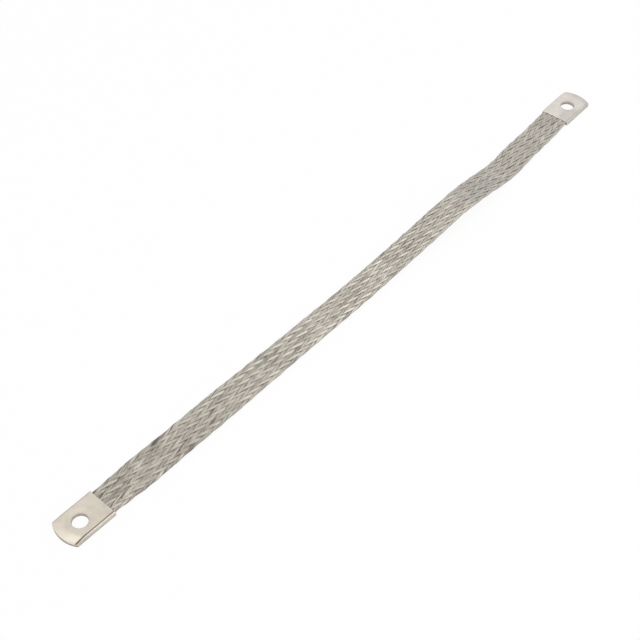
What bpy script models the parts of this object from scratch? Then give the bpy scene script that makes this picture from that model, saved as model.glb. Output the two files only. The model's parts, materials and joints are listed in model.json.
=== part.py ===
"""Flexible busbar braid: a flat tubular braid of fine tinned wire between two pressed palms.

Run with: blender --background --python part.py
Metres, +Z up. The palms lie on z = 0, and +X runs from the near bolt hole to the far one.
The origin is the centre of the overall box at its base.
"""
import bpy
import bmesh
from math import cos, pi, radians, sin, sqrt
from mathutils import Vector

# Palms: each is a tinned tube, pressed flat over one end of the braid and punched
HOLE_SPACING = 0.5000
HOLE_DIAMETER = 0.0103
HOLE_RIM = 0.0004
PALM_WIDTH = 0.0226
PALM_THICKNESS = 0.0033
TUBE_WALL = 0.0005
HOLE_TO_MOUTH = 0.0175
NEAR_HOLE_TO_CROWN = 0.0149
FAR_HOLE_TO_CROWN = 0.0170
NOSE_RADIUS = 0.0206
NOSE_THICKNESS = 0.0014
NOSE_SLOPE = 0.0062
FOLD_LIP = 0.00150
FOLD_GROOVE = 0.0003
FOLD_GROOVE_WIDTH = 0.0003
FOLD_ROUND = 0.0010
BASE_ROUND = 0.0004
MOUTH_EAR = 0.00015
MOUTH_FLARE = 0.00012
FLARE_REACH = 0.0005
NEAR_CORNER_RADIUS = 0.0004
FAR_CORNER_RADIUS = 0.0016
NEAR_YAW = radians(-0.88)
FAR_YAW = radians(1.17)

# Braid: two sets of carriers wound opposite ways, each passing over two and under two
CARRIERS = 36
LAY_PITCH = 0.0090
BRAID_WIDTH = 0.0205
BRAID_THICKNESS = 0.0026
FLOAT_HEIGHT = 0.00016
FLOAT_VALLEY = 0.00026
WALE_VALLEY = 0.00036
BRAID_LIFT = 0.0001
SWELL = 0.0045
SWELL_SHARE = (0.33, 0.5)

# Clearance between the pressed end of the braid and the tube round it
SEAT_GAP = 0.0003
PUNCH_GAP = 0.0002

# Route of the braid's middle line from mouth to mouth, as it lies: share of the half length from
# the middle of the span, share of the sideways bow, and share of the hump's height
BOW = 0.0049
HUMP = 0.0055
ROUTE = (
    (-0.933, 0.130, 0.00),
    (-0.791, 0.245, 0.00),
    (-0.649, 0.330, 0.00),
    (-0.508, 0.420, 0.00),
    (-0.366, 0.530, 0.00),
    (-0.224, 0.630, 0.02),
    (-0.082, 0.755, 0.05),
    (0.013, 0.785, 0.11),
    (0.108, 0.815, 0.24),
    (0.202, 0.845, 0.42),
    (0.273, 0.900, 0.62),
    (0.344, 0.900, 0.80),
    (0.401, 0.940, 0.95),
    (0.448, 0.980, 1.00),
    (0.491, 0.980, 0.89),
    (0.533, 0.940, 0.65),
    (0.576, 0.910, 0.38),
    (0.618, 0.980, 0.15),
    (0.656, 1.000, 0.02),
    (0.694, 0.980, 0.00),
    (0.737, 0.800, 0.02),
    (0.784, 0.640, 0.04),
    (0.841, 0.550, 0.04),
    (0.902, 0.390, 0.02),
    (0.959, 0.180, 0.00),
)

# Width of the braid along its length: share of the way from mouth to mouth, share of BRAID_WIDTH
WIDTHS = (
    (0.00, 0.97), (0.03, 1.02), (0.06, 1.10), (0.09, 1.09), (0.13, 1.06), (0.21, 1.07),
    (0.28, 1.02), (0.36, 0.985), (0.46, 0.97), (0.58, 0.96), (0.68, 0.98), (0.705, 0.965),
    (0.74, 1.01), (0.80, 1.03), (0.87, 1.05), (0.92, 1.02), (0.97, 1.02), (1.00, 1.00),
)

# How finely the shapes are drawn
ROWS_PER_PITCH = 2
WALE_COLUMNS = (0.0, 0.28, 0.72)
PALM_STATIONS = (0.0, 0.012, 0.04, 0.08, 0.12, 0.16, 0.205, 0.26, 0.45, 0.70, 0.90, 1.0)
EAR_SHARPNESS = 6
HOLE_SIDES = 40
ROUND_STEPS = 4

PALM_MIDDLE = PALM_THICKNESS / 2
POCKET_HEIGHT = PALM_THICKNESS - 2 * TUBE_WALL
POCKET_WIDTH = PALM_WIDTH - 2 * FOLD_LIP + 2 * TUBE_WALL
POCKET_END = min(NEAR_HOLE_TO_CROWN, FAR_HOLE_TO_CROWN) - NOSE_SLOPE


def smooth(share):
    """Eases from 0 to 1 without a corner at either end."""
    share = min(1.0, max(0.0, share))
    return share * share * (3 - 2 * share)


def between(table, share):
    """Reads a value from a table of (share, value) rows, eased from row to row."""
    for (start, first), (end, second) in zip(table, table[1:]):
        if share <= end:
            return first + (second - first) * smooth((share - start) / (end - start))
    return table[-1][1]


def arc(centre, radius, start, end, steps):
    """Points of an arc in a plane, from one angle to another in degrees."""
    points = []
    for step in range(steps + 1):
        angle = radians(start + (end - start) * step / steps)
        points.append((centre[0] + radius * cos(angle), centre[1] + radius * sin(angle)))
    return points


def clear_scene():
    """Removes what the file holds when it opens."""
    for thing in list(bpy.data.objects):
        bpy.data.objects.remove(thing)


def metal(name, colour, roughness):
    """A plain metal for one part."""
    material = bpy.data.materials.new(name)
    material.use_nodes = True
    shader = material.node_tree.nodes["Principled BSDF"]
    shader.inputs["Base Color"].default_value = (*colour, 1.0)
    shader.inputs["Metallic"].default_value = 1.0
    shader.inputs["Roughness"].default_value = roughness
    return material


def add_object(name, mesh_data, material=None):
    """Turns finished mesh data into a named object with its faces pointing out."""
    bmesh.ops.recalc_face_normals(mesh_data, faces=mesh_data.faces)
    mesh = bpy.data.meshes.new(name)
    mesh_data.to_mesh(mesh)
    mesh_data.free()
    if material:
        mesh.materials.append(material)
    mesh.shade_smooth()
    mesh.set_sharp_from_angle(angle=radians(35))
    thing = bpy.data.objects.new(name, mesh)
    bpy.context.collection.objects.link(thing)
    return thing


def cut(thing, cutter):
    """Cuts one shape out of another and removes the cutter."""
    modifier = thing.modifiers.new("cut", "BOOLEAN")
    modifier.operation = "DIFFERENCE"
    modifier.solver = "EXACT"
    modifier.object = cutter
    bpy.context.view_layer.objects.active = thing
    thing.select_set(True)
    bpy.ops.object.modifier_apply(modifier=modifier.name)
    thing.select_set(False)
    bpy.data.objects.remove(cutter)


def loft(sections):
    """Joins rings of as many points each with faces and closes both ends."""
    data = bmesh.new()
    rings = [[data.verts.new(point) for point in section] for section in sections]
    count = len(rings[0])
    for first, second in zip(rings, rings[1:]):
        for step in range(count):
            after = (step + 1) % count
            data.faces.new((first[step], first[after], second[after], second[step]))
    data.faces.new(rings[0])
    data.faces.new(list(reversed(rings[-1])))
    return data


def palm_section():
    """Half of the pressed tube's outline across, from the middle of its base to the land on top.

    Each point is (y, z). The folded side stands as a rounded lip outside a pressed groove.
    """
    side = PALM_WIDTH / 2
    groove = side - FOLD_LIP
    top = PALM_THICKNESS
    points = [(0.0, 0.0), (side / 3, 0.0), (2 * side / 3, 0.0)]
    points += arc((side - BASE_ROUND, BASE_ROUND), BASE_ROUND, -90, 0, ROUND_STEPS)
    points += arc((side - FOLD_ROUND, top - FOLD_ROUND), FOLD_ROUND, 0, 90, ROUND_STEPS)
    points.append((groove + FOLD_GROOVE_WIDTH, top))
    points.append((groove, top - FOLD_GROOVE))
    points.append((groove - FOLD_GROOVE_WIDTH, top))
    points += [(side / 2, top), (side / 4, top), (0.0, top)]
    return points


def nose_edge(offset, hole_to_crown, corner_radius):
    """How far the nose reaches from the bolt hole, at an offset from the palm's middle line."""
    reach = hole_to_crown - (NOSE_RADIUS - sqrt(NOSE_RADIUS ** 2 - offset ** 2))
    past = abs(offset) - (PALM_WIDTH / 2 - corner_radius)
    if past > 0:
        reach -= corner_radius - sqrt(max(0.0, corner_radius ** 2 - past ** 2))
    return reach


def palm_shell(name, hole_to_crown, corner_radius, material):
    """The outside of one palm, with its hole at the origin and its mouth towards +X."""
    half = palm_section()
    ring = half + [(-y, z) for y, z in reversed(half[1:-1])]
    sections = []
    for share in PALM_STATIONS:
        section = []
        for y, z in ring:
            nose = -nose_edge(y, hole_to_crown, corner_radius)
            mouth = HOLE_TO_MOUTH + MOUTH_EAR * (2 * abs(y) / PALM_WIDTH) ** EAR_SHARPNESS
            x = nose + (mouth - nose) * share
            rise = sin(pi / 2 * min(1.0, (x - nose) / NOSE_SLOPE))
            height = NOSE_THICKNESS + (PALM_THICKNESS - NOSE_THICKNESS) * rise
            section.append((x, y, z * height / PALM_THICKNESS))
        sections.append(section)
    return add_object(name, loft(sections), material)


def pocket_cutter():
    """The space inside the tube, open at the mouth and slightly flared there."""
    radius = POCKET_HEIGHT / 2
    reach = POCKET_WIDTH / 2 - radius
    outline = arc((reach, PALM_MIDDLE), radius, -90, 90, 2 * ROUND_STEPS)
    outline += arc((-reach, PALM_MIDDLE), radius, 90, 270, 2 * ROUND_STEPS)
    flare_start = HOLE_TO_MOUTH - FLARE_REACH
    past_mouth = HOLE_TO_MOUTH + FLARE_REACH
    sections = []
    for x, grow in ((-POCKET_END, 0.0), (flare_start, 0.0), (past_mouth, 2 * MOUTH_FLARE)):
        section = []
        for y, z in outline:
            away = Vector((y, z - PALM_MIDDLE)).normalized() * grow
            section.append((x, y + away.x, z + away.y))
        sections.append(section)
    return add_object("pocket_cutter", loft(sections))


def hole_cutter():
    """A turned cutter for the bolt hole, with a rounded rim on both faces."""
    bore = HOLE_DIAMETER / 2
    low_rim = arc((bore + HOLE_RIM, HOLE_RIM), HOLE_RIM, 270, 180, ROUND_STEPS)
    high_rim = arc((bore + HOLE_RIM, PALM_THICKNESS - HOLE_RIM), HOLE_RIM, 180, 90, ROUND_STEPS)
    profile = [(bore + HOLE_RIM, -HOLE_RIM)] + low_rim + high_rim
    profile.append((bore + HOLE_RIM, PALM_THICKNESS + HOLE_RIM))
    sections = []
    for radius, z in profile:
        section = []
        for step in range(HOLE_SIDES):
            angle = 2 * pi * step / HOLE_SIDES
            section.append((radius * cos(angle), radius * sin(angle), z))
        sections.append(section)
    return add_object("hole_cutter", loft(sections))


def make_palm(name, hole_to_crown, corner_radius, material):
    """One whole palm: the pressed tube with its pocket and its punched hole."""
    palm = palm_shell(name, hole_to_crown, corner_radius, material)
    cut(palm, pocket_cutter())
    cut(palm, hole_cutter())
    return palm


def flat_tube(share, width, thickness):
    """A point on a flattened tube's outline and the way out of it, by share of the way round.

    The outline starts at the middle of the base and runs towards +Y.
    """
    radius = thickness / 2
    flat = width - thickness
    bend = pi * radius
    along = (share % 1.0) * (2 * flat + 2 * bend)
    if along <= flat / 2:
        return (along, -radius), (0.0, -1.0)
    along -= flat / 2
    if along <= bend:
        angle = along / radius - pi / 2
        return (flat / 2 + radius * cos(angle), radius * sin(angle)), (cos(angle), sin(angle))
    along -= bend
    if along <= flat:
        return (flat / 2 - along, radius), (0.0, 1.0)
    along -= flat
    if along <= bend:
        angle = along / radius + pi / 2
        return (-flat / 2 + radius * cos(angle), radius * sin(angle)), (cos(angle), sin(angle))
    along -= bend
    return (-flat / 2 + along, -radius), (0.0, -1.0)


def palm_frame(side):
    """Where a palm's hole is, and the way from it to the palm's mouth, for side -1 or +1."""
    yaw = NEAR_YAW if side < 0 else FAR_YAW
    hole = Vector((side * HOLE_SPACING / 2, 0.0, 0.0))
    inward = Vector((-side * cos(yaw), -side * sin(yaw), 0.0))
    return hole, inward


def braid_route():
    """The braid's middle line as corner points, with the straight pressed ends."""
    level = BRAID_THICKNESS / 2 / min(share for _, share in WIDTHS) + FLOAT_HEIGHT + BRAID_LIFT
    reach = HOLE_SPACING / 2 - HOLE_TO_MOUTH
    points = [Vector((along * reach, -side * BOW, level + rise * HUMP)) for along, side, rise in ROUTE]
    for side in (-1, 1):
        hole, inward = palm_frame(side)
        start = hole + Vector((0, 0, PALM_MIDDLE))
        clear = hole + inward * (HOLE_TO_MOUTH + SWELL) + Vector((0, 0, level))
        ends = [start - inward * (POCKET_END - SEAT_GAP), start + inward * HOLE_TO_MOUTH, clear]
        points = ends + points if side < 0 else points + ends[::-1]
    return points


def curve_point(points, where):
    """A point on a smooth curve through the corner points; the whole part of where is the span."""
    last = len(points) - 1
    span = min(int(where), last - 1)
    share = where - span
    here, there = points[span], points[span + 1]
    before = points[span - 1] if span > 0 else here * 2 - there
    beyond = points[span + 2] if span + 2 <= last else there * 2 - here

    def slope(back, middle, ahead):
        behind, front = (middle - back).length, (ahead - middle).length
        return ((middle - back) / behind * front + (ahead - middle) / front * behind) / (behind + front)

    reach = (there - here).length
    slope_here = slope(before, here, there) * reach
    slope_there = slope(here, there, beyond) * reach
    square, cube = share ** 2, share ** 3
    return (here * (2 * cube - 3 * square + 1) + slope_here * (cube - 2 * square + share)
            + there * (3 * square - 2 * cube) + slope_there * (cube - square))


def walk_route(points, steps=16):
    """The route as short steps: each is the length so far and the place."""
    walked = [(0.0, points[0])]
    for step in range(1, (len(points) - 1) * steps + 1):
        place = curve_point(points, step / steps)
        walked.append((walked[-1][0] + (place - walked[-1][1]).length, place))
    return walked


def at_length(walked, length):
    """Place and heading at a length along the walked route."""
    for (start, first), (end, second) in zip(walked, walked[1:]):
        if length <= end or second is walked[-1][1]:
            return first + (second - first) * ((length - start) / (end - start)), (second - first).normalized()
    return None


def braid_rows(total):
    """Rows along the braid: length from its inner end, mix from pressed (0) to woven (1), row number."""
    near_mouth = POCKET_END - SEAT_GAP + HOLE_TO_MOUTH
    far_mouth = total - near_mouth
    woven = far_mouth - near_mouth - 2 * SWELL
    count = round(woven * ROWS_PER_PITCH / LAY_PITCH)
    early = SWELL * SWELL_SHARE[0]
    mix = SWELL_SHARE[1]
    rows = [(0.0, 0.0, 0), (near_mouth, 0.0, 1), (near_mouth + early, mix, 2)]
    rows += [(near_mouth + SWELL + woven * step / count, 1.0, step + 1) for step in range(count + 1)]
    rows += [(far_mouth - early, mix, count), (far_mouth, 0.0, count + 1), (total, 0.0, count)]
    return rows, near_mouth, far_mouth


def make_braid(name, material):
    """The whole braid: pressed, punched ends and the herringbone of floats between them."""
    walked = walk_route(braid_route())
    total = walked[-1][0]
    rows, near_mouth, far_mouth = braid_rows(total)
    wales = CARRIERS // 2
    pressed_width = POCKET_WIDTH - 2 * SEAT_GAP
    pressed_thickness = POCKET_HEIGHT - 2 * SEAT_GAP
    data = bmesh.new()
    rings = []
    for length, mix, number in rows:
        place, heading = at_length(walked, length)
        across = Vector((-heading.y, heading.x, 0.0)).normalized()
        upward = heading.cross(across)
        share = (length - near_mouth) / (far_mouth - near_mouth)
        wide = BRAID_WIDTH * between(WIDTHS, share)
        width = pressed_width + (wide - pressed_width) * mix
        thick = BRAID_THICKNESS * BRAID_WIDTH / wide
        thickness = pressed_thickness + (thick - pressed_thickness) * mix
        ring = []
        for wale in range(wales):
            for column, within in enumerate(WALE_COLUMNS):
                (y, z), out = flat_tube((wale + within) / wales, width, thickness)
                if column == 0:
                    relief = -WALE_VALLEY
                else:
                    relief = FLOAT_HEIGHT if (number + column) % 2 else -FLOAT_VALLEY
                y += out[0] * relief * mix
                z += out[1] * relief * mix
                ring.append(data.verts.new(place + across * y + upward * z))
        rings.append(ring)
    count = len(rings[0])
    for first, second in zip(rings, rings[1:]):
        for step in range(count):
            after = (step + 1) % count
            low, low_after, high, high_after = first[step], first[after], second[step], second[after]
            if (step // len(WALE_COLUMNS)) % 2:
                data.faces.new((low, low_after, high_after))
                data.faces.new((low, high_after, high))
            else:
                data.faces.new((low, low_after, high))
                data.faces.new((low_after, high_after, high))
    data.faces.new(rings[0])
    data.faces.new(list(reversed(rings[-1])))
    braid = add_object(name, data, material)
    for side in (-1, 1):
        cut(braid, punch_cutter(palm_frame(side)[0]))
    return braid


def punch_cutter(hole):
    """A plain round cutter for the hole through a pressed end of the braid."""
    data = bmesh.new()
    bmesh.ops.create_cone(data, cap_ends=True, segments=HOLE_SIDES, radius1=HOLE_DIAMETER / 2 + PUNCH_GAP,
                          radius2=HOLE_DIAMETER / 2 + PUNCH_GAP, depth=3 * PALM_THICKNESS)
    bmesh.ops.translate(data, verts=data.verts, vec=hole)
    return add_object("punch_cutter", data)


def set_on_origin(things):
    """Moves all parts together, so that the origin is at the middle of the overall box's base."""
    bpy.context.view_layer.update()
    corners = [thing.matrix_world @ vertex.co for thing in things for vertex in thing.data.vertices]
    low = [min(corner[axis] for corner in corners) for axis in range(3)]
    high = [max(corner[axis] for corner in corners) for axis in range(3)]
    shift = Vector((-(low[0] + high[0]) / 2, -(low[1] + high[1]) / 2, -low[2]))
    for thing in things:
        thing.location += shift


def main():
    clear_scene()
    tinned_tube = metal("tinned_tube", (0.78, 0.75, 0.71), 0.36)
    tinned_wire = metal("tinned_wire", (0.60, 0.58, 0.53), 0.42)
    near_palm = make_palm("near_palm", NEAR_HOLE_TO_CROWN, NEAR_CORNER_RADIUS, tinned_tube)
    near_palm.location = palm_frame(-1)[0]
    near_palm.rotation_euler = (0.0, 0.0, NEAR_YAW)
    far_palm = make_palm("far_palm", FAR_HOLE_TO_CROWN, FAR_CORNER_RADIUS, tinned_tube)
    far_palm.location = palm_frame(1)[0]
    far_palm.rotation_euler = (0.0, 0.0, pi + FAR_YAW)
    braid = make_braid("braid", tinned_wire)
    set_on_origin([near_palm, far_palm, braid])


main()
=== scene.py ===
"""Looks of the flexible busbar braid: woven tinned wire between two pressed tube palms.

Everything is in metres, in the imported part's own frame: the palms lie on z = 0, and +X runs
from the near bolt hole to the far one.
"""
import json
from math import cos, pi, radians, sin, sqrt

import bmesh
import bpy
import numpy as np
from mathutils import Matrix, Vector, noise


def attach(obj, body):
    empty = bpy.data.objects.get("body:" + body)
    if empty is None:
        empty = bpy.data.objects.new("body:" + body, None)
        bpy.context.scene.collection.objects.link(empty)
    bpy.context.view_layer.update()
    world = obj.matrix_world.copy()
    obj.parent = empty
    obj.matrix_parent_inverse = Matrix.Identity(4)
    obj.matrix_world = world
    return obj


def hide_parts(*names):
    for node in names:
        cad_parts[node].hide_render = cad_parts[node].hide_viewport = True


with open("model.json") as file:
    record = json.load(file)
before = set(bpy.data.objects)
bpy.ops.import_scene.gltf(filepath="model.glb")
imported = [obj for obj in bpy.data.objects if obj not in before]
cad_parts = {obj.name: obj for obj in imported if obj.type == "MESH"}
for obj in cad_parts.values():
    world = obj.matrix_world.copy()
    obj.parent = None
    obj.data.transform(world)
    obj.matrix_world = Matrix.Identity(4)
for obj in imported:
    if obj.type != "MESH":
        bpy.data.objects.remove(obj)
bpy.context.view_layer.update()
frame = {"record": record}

SEED = 36
NEAR, FAR = -1, 1

# Palms, as the part's source has them
HOLE_DIAMETER = 0.0103
HOLE_RIM = 0.0004
PALM_WIDTH = 0.0226
PALM_THICKNESS = 0.0033
TUBE_WALL = 0.0005
HOLE_TO_MOUTH = 0.0175
HOLE_TO_CROWN = {NEAR: 0.0149, FAR: 0.0170}
NOSE_RADIUS = 0.0206
FOLD_LIP = 0.00150
FOLD_ROUND = 0.0010
BASE_ROUND = 0.0004
MOUTH_EAR = 0.00015
EAR_SHARPNESS = 6
FLARE_REACH = 0.0005
YAW = {NEAR: radians(-0.88), FAR: radians(1.17)}
POCKET_HEIGHT = PALM_THICKNESS - 2 * TUBE_WALL
POCKET_WIDTH = PALM_WIDTH - 2 * FOLD_LIP + 2 * TUBE_WALL
PALM_MIDDLE = PALM_THICKNESS / 2

# Palms, where the looks follow the photo in smaller things than the solids do. One fold of each
# palm has an open crease beside it, and the crease beside the other is nearly shut.
CORNER_RADIUS = {NEAR: 0.0004, FAR: 0.0020}
NOSE_SLOPE = 0.0080
CREASED_NOSE = {NEAR: 0.0014, FAR: 0.0016}
SHUT_NOSE = {NEAR: 0.0028, FAR: 0.0023}
NOSE_ROUND = 0.00035
NOSE_BLUNTNESS = 0.35
LAND_DROP = 0.00010
LAND_STEPS = 13
CROWN = 0.00018
OPEN_CREASE = {NEAR: 0.00034, FAR: 0.00010}
SHUT_CREASE = 0.00004
CREASE_WIDTH = 0.00036
FOLD_TOP_DROP = 0.00003
POCKET_END = 0.0060
MOUTH_FLARE = 0.00003
MOUTH_ROUND = {NEAR: 0.00022, FAR: 0.00040}
PUNCH_BURR = 0.00012
BORE = HOLE_DIAMETER / 2 - PUNCH_BURR
HOLE_SIDES = 96
DISH_DEPTH = 0.00028
DISH_REACH = 0.0038
PRESS_WAVE = 0.00002
PRESS_WAVE_SCALE = 260
RIM_PAST = 0.00004
CUTTER_PAST = 0.001
CORE_GAP = 0.00002
CORE_INSET = 0.0004

# Across a crease: how far out from its middle in crease widths, and how deep in crease depths
CREASE_SHAPE = ((0.5, 0.2), (0.0, 1.0), (-0.5, 0.35), (-1.2, 0.06), (-2.2, 0.0))

# Painted shade on the palms, each from 0 to 1: in the open crease (with some real dirt there),
# over the land beside it, round the hole, low on the sides, along the folds and on the nose; and a
# painted highlight on the mouth's lip. The crease's painted shade spreads wider towards the nose.
CREASE_SHADE_AND_DIRT = {NEAR: 1.0, FAR: 0.12}
CREASE_SHADE_SPREAD = 0.6
CREASE_SHADE_FLOOR = 0.0007
FOLD_SHADE = {NEAR: 0.06, FAR: 0.16}
FOLD_SHADE_TO_NOSE = 0.17
SHUT_FOLD_SHADE = {NEAR: 0.36, FAR: 0.0}
LAND_SHADE = {NEAR: 0.07, FAR: 0.17}
HOLE_SHADE = 0.20
BASE_SHADE = 0.35
BASE_SHADE_HEIGHT = (0.00216, 0.00036)
FOLD_SHADE_WIDTH = 0.0009
SHUT_SHADE_WIDTH = 0.0013
FOLD_SHADE_EDGE = 0.0006
NOSE_SHADE = 0.15
NOSE_SHADE_REACH = (0.00048, 0.00008)
NOSE_SHADE_TO_CREASE = 0.40
LIP_HIGHLIGHT = {NEAR: 0.1, FAR: 0.75}
LIP_WIDTH = 0.0007
LIP_EDGE = 0.0003

# Colours: tin plate from dark patches to light ones, painted shade and highlight, wire, surroundings
PLATE = {
    NEAR: ((0.70, 0.65, 0.58), (0.76, 0.71, 0.64), (0.81, 0.755, 0.68)),
    FAR: ((0.74, 0.69, 0.645), (0.80, 0.75, 0.71), (0.85, 0.80, 0.755)),
}
# the colour of the palms' painted shade, which also stands for some dirt in the open crease
SHADE_AND_DIRT_COLOUR = (0.16, 0.135, 0.11, 1.0)
# the colour of the painted highlight on the mouths' lips
LIP_HIGHLIGHT_COLOUR = (0.95, 0.93, 0.86, 1.0)
PINKISH, GREENISH = (1.0, 0.955, 0.955), (0.965, 1.0, 0.935)
CUT_COLOURS = ((0.15, (0.80, 0.73, 0.66)), (0.65, (0.56, 0.50, 0.44)))
WIRE_COLOURS = (
    (0.05, (0.12, 0.105, 0.09)), (0.30, (0.40, 0.375, 0.335)),
    (0.60, (0.58, 0.55, 0.495)), (1.0, (0.84, 0.805, 0.74)),
)
SKY_COLOURS = (
    (0.0, (0.42, 0.43, 0.45)), (0.20, (0.55, 0.56, 0.58)), (0.45, (0.95, 0.96, 1.0)),
    (0.62, (0.95, 0.96, 1.0)), (0.83, (0.80, 0.77, 0.72)), (1.0, (0.72, 0.69, 0.64)),
)
BACKGROUND_COLOUR = (0.97, 0.975, 1.0, 1.0)
SKY_STRENGTH = 1.03
FLOOR_WHITENESS = 0.92

# Braid, as the part's source has it
CARRIERS = 36
LAY_PITCH = 0.0090
BRAID_WIDTH = 0.0205
BRAID_THICKNESS = 0.0026
FLOAT_HEIGHT = 0.00016
BRAID_LIFT = 0.0001
SWELL = 0.0045
BOW = 0.0049
HUMP = 0.0055

# The braid's middle line from mouth to mouth, as it lies: share of the half length from the middle
# of the span, share of the sideways bow, and share of the hump's height
ROUTE = (
    (-0.933, 0.130, 0.00),
    (-0.791, 0.245, 0.00),
    (-0.649, 0.330, 0.00),
    (-0.508, 0.420, 0.00),
    (-0.366, 0.530, 0.00),
    (-0.224, 0.630, 0.02),
    (-0.082, 0.755, 0.05),
    (0.013, 0.785, 0.11),
    (0.108, 0.815, 0.24),
    (0.202, 0.845, 0.42),
    (0.273, 0.900, 0.62),
    (0.344, 0.900, 0.80),
    (0.401, 0.940, 0.95),
    (0.448, 0.980, 1.00),
    (0.491, 0.980, 0.89),
    (0.533, 0.940, 0.65),
    (0.576, 0.910, 0.38),
    (0.618, 0.980, 0.15),
    (0.656, 1.000, 0.02),
    (0.694, 0.980, 0.00),
    (0.737, 0.800, 0.02),
    (0.784, 0.640, 0.04),
    (0.841, 0.550, 0.04),
    (0.902, 0.390, 0.02),
    (0.959, 0.180, 0.00),
)

# Tables along the braid: rows of (share of its length from the near mouth, value)
WIDTHS = (
    (0.00, 0.97), (0.03, 1.02), (0.06, 1.10), (0.09, 1.09), (0.13, 1.06), (0.21, 1.07),
    (0.28, 1.02), (0.36, 0.985), (0.46, 0.97), (0.58, 0.96), (0.68, 0.98), (0.705, 0.965),
    (0.74, 1.01), (0.80, 1.03), (0.87, 1.05), (0.92, 1.02), (0.97, 1.02), (1.00, 1.00),
)
RELIEF = ((0.0, 1.0), (0.6, 1.0), (0.76, 0.72), (1.0, 0.72))
VARIETY = ((0.0, 1.0), (0.6, 0.9), (0.72, 0.45), (1.0, 0.35))
# painted shade where a carrier passes under the other hand's floats
HIDDEN_SHADE = ((0.0, 0.50), (0.4, 0.58), (0.7, 0.74), (1.0, 0.80))

# Tables for each hand, -1 and 1, the two ways in which carriers wind
RIBBON_FILL = {
    -1: ((0.0, 0.95), (0.45, 0.96), (0.7, 0.97), (1.0, 0.98)),
    1: ((0.0, 0.88), (0.45, 0.86), (0.7, 0.80), (1.0, 0.78)),
}
# a painted highlight: hand 1's floats are lighter than hand -1's, most in the middle of the braid; both
# are darker towards the near end
LIGHTNESS_AND_SHEEN = {
    -1: ((0.0, 0.45), (0.12, 0.46), (0.28, 0.54), (0.42, 0.59), (0.66, 0.60), (0.76, 0.63),
         (1.0, 0.64)),
    1: ((0.0, 0.57), (0.12, 0.63), (0.28, 0.74), (0.42, 0.83), (0.66, 0.76), (0.76, 0.63),
        (1.0, 0.60)),
}
# painted shade along a ribbon's edges, which in the far third falls on one edge only as a painted
# shadow
EDGE_SHADE = {
    -1: ((0.0, 0.30), (0.6, 0.30), (0.76, 0.15), (1.0, 0.15)),
    1: ((0.0, 0.30), (0.6, 0.34), (0.76, 0.62), (1.0, 0.66)),
}

# Carriers of the woven braid: flat ribbons of parallel wires, domed across
WALES = CARRIERS // 2
RIBBON_THICKNESS = 0.00040
FLOAT_RISE = 0.00022
FLOAT_FLATNESS = 1.7
WIRES = 10
WIRES_IN_BUNDLE = 4
WIRE_RIDGE = 0.00007
SPLIT_DEPTH = 0.00006
SPLIT_RARITY = 0.25
DOME_POWER = 2.2
UNDERSIDE = (0.7, 0.0, -0.7)
UNDERSIDE_DEPTH = 0.8
STATION_STEP = 0.00125
TUCKED_IN = 0.0030
MOUTH_SQUEEZE = 0.42
CARRIER_PIECES = 6

# Points across a ribbon: a valley and a ridge in turn along the top, then the plain underside
ACROSS = np.concatenate([np.linspace(-1, 1, 2 * WIRES + 1), UNDERSIDE])
ON_TOP = np.arange(len(ACROSS)) <= 2 * WIRES
IN_VALLEY = ON_TOP & (np.arange(len(ACROSS)) % 2 == 0)

# Slow drifts along a carrier: size and wave lengths
PLACE_DRIFT = (0.09, (0.023, 0.037, 0.083))
FILL_DRIFT = (0.11, (0.009, 0.015, 0.033))
WIRE_LIFT = (0.00005, (0.011, 0.017, 0.029))
BUNDLE_TONE = (1.8, (0.014, 0.027, 0.052))
SPLITS = (2.4, (0.008, 0.013, 0.024))

# Tones of the wires, from 0 dark to 1 light; each float takes one of the random tones
FLOAT_TONES = 400
FLOAT_TONE_LIMITS = (-1.3, 1.6)
FLOAT_VARIETY = 0.07
WIRE_VARIETY = 0.20
WIRE_TONE_SPREAD = 0.5
# painted shade in the valleys between wires, in splits, and the most painted shade at a ribbon's edge
VALLEY_SHADE = 0.05
SPLIT_SHADE = 0.40
EDGE_SHADE_MOST = 0.9
FAR_THIRD = (0.60, 0.76)
FAR_EDGE_VARIETY = (-0.85, 0.45)

# Uneven edges of the braid: height and length of the bulges, and how both change along it
EDGE_WAVE = 0.00020
EDGE_WAVE_LENGTH = 0.0130
EDGE_SWELL_LENGTH = 0.071
EDGE_DRIFT_LENGTH = 0.047
EDGE_PHASES = (0.9, 3.6)

# Loose wires, each over one float and arched. They crowd towards the near end, by a power of their
# place, and only those on the upper side stay: its start and end are shares of the way round.
LOOSE_TRIES = 620
UPPER_SIDE = (0.27, 0.73)
LOOSE_RADIUS = 0.00010
LOOSE_STEPS = 15
LOOSE_SIDES = 6
LOOSE_START = 0.01
LOOSE_SPAN = 0.96
LOOSE_CROWDING = 1.5
LOOSE_HALF_LENGTH = 0.62 * LAY_PITCH
LOOSE_SIDEWAYS = 0.00085
LOOSE_SLANT = 0.00025
LOOSE_ARCH = (0.00002, 0.00016)
LOOSE_SINK = 0.00004
LOOSE_TONES = (0.75, 1.0)
HALF_RIBBON = 0.0012
MEAN_WALE = 2.1 * BRAID_WIDTH / WALES

# Camera, fitted to the photograph
CAMERA_AZIMUTH = -48.896
CAMERA_ELEVATION = 48.15
CAMERA_TARGET = Vector((-0.04149, 0.00150, 0.0))
CAMERA_DISTANCE = 0.84870
CAMERA_LENS = 72.51

# Soft boxes: azimuth and elevation in degrees, distance and size in metres, power in watts
LAMPS = {
    "back_box": (236, 69, 1.6, 0.8, 1.6),
    "side_box": (30, 55, 1.6, 0.9, 3.0),
}


def smooth(share):
    """Eases from 0 to 1 without a corner at either end, for numbers and arrays."""
    share = np.clip(share, 0.0, 1.0)
    return share * share * (3 - 2 * share)


def share_of(value, none, full):
    """0 up to one value, 1 from another on and straight between; either may be the greater."""
    return np.clip((value - none) / (full - none), 0, 1)


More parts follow.
